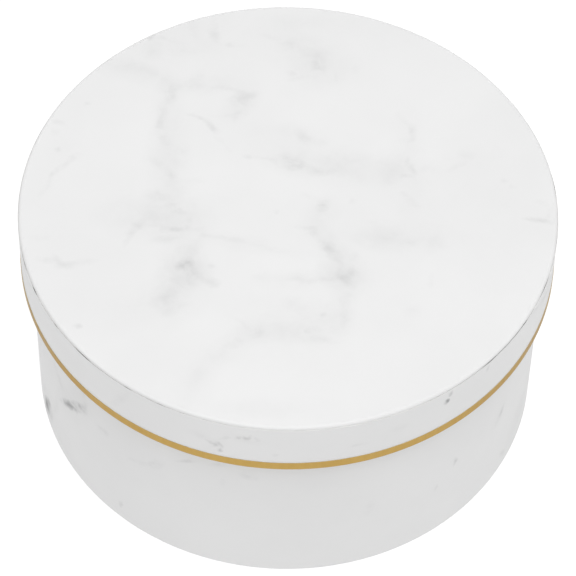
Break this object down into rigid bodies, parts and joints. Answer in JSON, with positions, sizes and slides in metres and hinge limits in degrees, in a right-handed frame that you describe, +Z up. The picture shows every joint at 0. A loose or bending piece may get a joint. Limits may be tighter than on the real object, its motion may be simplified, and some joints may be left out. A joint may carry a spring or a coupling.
{
  "type": "flower box",
  "caption": "Shallow round rigid paper gift box with a lift-off lid, covered in marble paper and edged in gold foil, for holding flowers.",
  "frame": {"origin": "centre of the round base on the surface that the closed box stands on", "axes": "+Z up along the box's axis, the way the lid lifts; +Y towards the back, where the paper strips lap; -Y is the front; +X to the right seen from the front"},
  "size_m": [0.2, 0.2, 0.0984],
  "materials": {
    "marble_paper": "satin",
    "lining_paper": "matte",
    "gold_foil_paper": "satin",
    "greyboard": "matte",
    "joint_tape": "matte"
  },
  "bodies": {
    "base": {"base_floor_board": "greyboard", "base_wall_board": "greyboard", "base_wall_tape": "joint_tape", "base_wrap_paper": "marble_paper", "base_wall_lining": "lining_paper", "base_floor_lining": "lining_paper", "base_bottom_paper": "lining_paper"},
    "lid": {"lid_top_board": "greyboard", "lid_rim_board": "greyboard", "lid_rim_tape": "joint_tape", "lid_top_paper": "marble_paper", "lid_rim_paper": "marble_paper", "lid_foil_edging": "gold_foil_paper", "lid_disc_lining": "lining_paper", "lid_rim_lining": "lining_paper"}
  },
  "joints": [
    {"name": "lid_lift", "type": "slide", "parent": "base", "child": "lid", "axis": [0, 0, 1], "range_m": [0, 0.1]}
  ]
}
